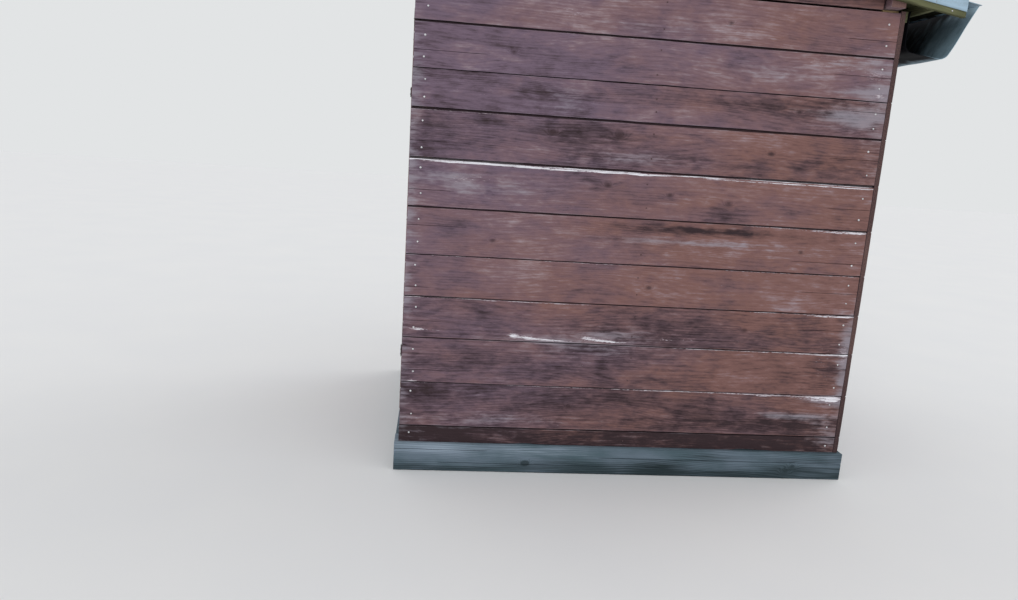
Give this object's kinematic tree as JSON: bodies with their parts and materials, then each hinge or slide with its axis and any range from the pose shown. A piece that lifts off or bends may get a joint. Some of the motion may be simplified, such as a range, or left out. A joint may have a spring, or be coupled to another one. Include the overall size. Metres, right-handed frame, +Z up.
{
  "type": "wooden outhouse",
  "caption": "Small board-clad wooden outhouse with a sloping metal roof, plinth beams, a plank door and a wide bent-metal gutter under its low eave.",
  "frame": {"origin": "on the ground, below the middle of the whole outline", "axes": "+X along the board wall towards the gutter, +Y into the building away from the pictured wall, +Z up"},
  "size_m": [2.522, 1.63, 2.5278],
  "materials": {
    "stained_boards": "weathered red-brown stain on rough-sawn boards",
    "sheltered_boards": "less weathered red-brown stain",
    "bare_wood": "bare weathered timber",
    "frame_wood": "unpainted sawn timber, inside",
    "plinth_wood": "grey weathered plinth beams",
    "roof_metal": "light blue-grey coated roof sheet",
    "gutter_metal": "blue-grey bent sheet, dull and dirty inside",
    "iron": "dull black ironwork"
  },
  "bodies": {
    "root": {"sill_front": "plinth_wood", "sill_back": "plinth_wood", "sill_left": "plinth_wood", "sill_right": "plinth_wood", "floor_joists": "frame_wood", "floor_boards": "frame_wood", "post_front_left": "frame_wood", "post_front_right": "frame_wood", "post_back_left": "frame_wood", "post_back_right": "frame_wood", "front_stud": "frame_wood", "back_stud": "frame_wood", "right_stud": "frame_wood", "door_posts": "frame_wood", "door_head": "frame_wood", "eave_beam_low": "sheltered_boards", "eave_beam_high": "sheltered_boards", "front_wall": "stained_boards", "back_wall": "stained_boards", "right_wall": "stained_boards", "left_wall_front": "stained_boards", "left_wall_back": "stained_boards", "left_wall_over_door": "stained_boards", "front_gable": "sheltered_boards", "back_gable": "sheltered_boards", "roof_purlin": "frame_wood", "roof_boards": "bare_wood", "barge_front": "bare_wood", "barge_back": "bare_wood", "eave_batten_low": "bare_wood", "eave_batten_high": "bare_wood", "roof_sheet": "roof_metal", "verge_trim_front": "roof_metal", "verge_trim_back": "roof_metal", "gutter_ledger": "bare_wood", "gutter": "gutter_metal", "gutter_straps": "iron", "door_leaf": "stained_boards", "door_ledges": "frame_wood", "door_hinges": "iron", "door_handle": "bare_wood", "door_button": "bare_wood", "door_casing": "sheltered_boards"}
  },
  "joints": []
}
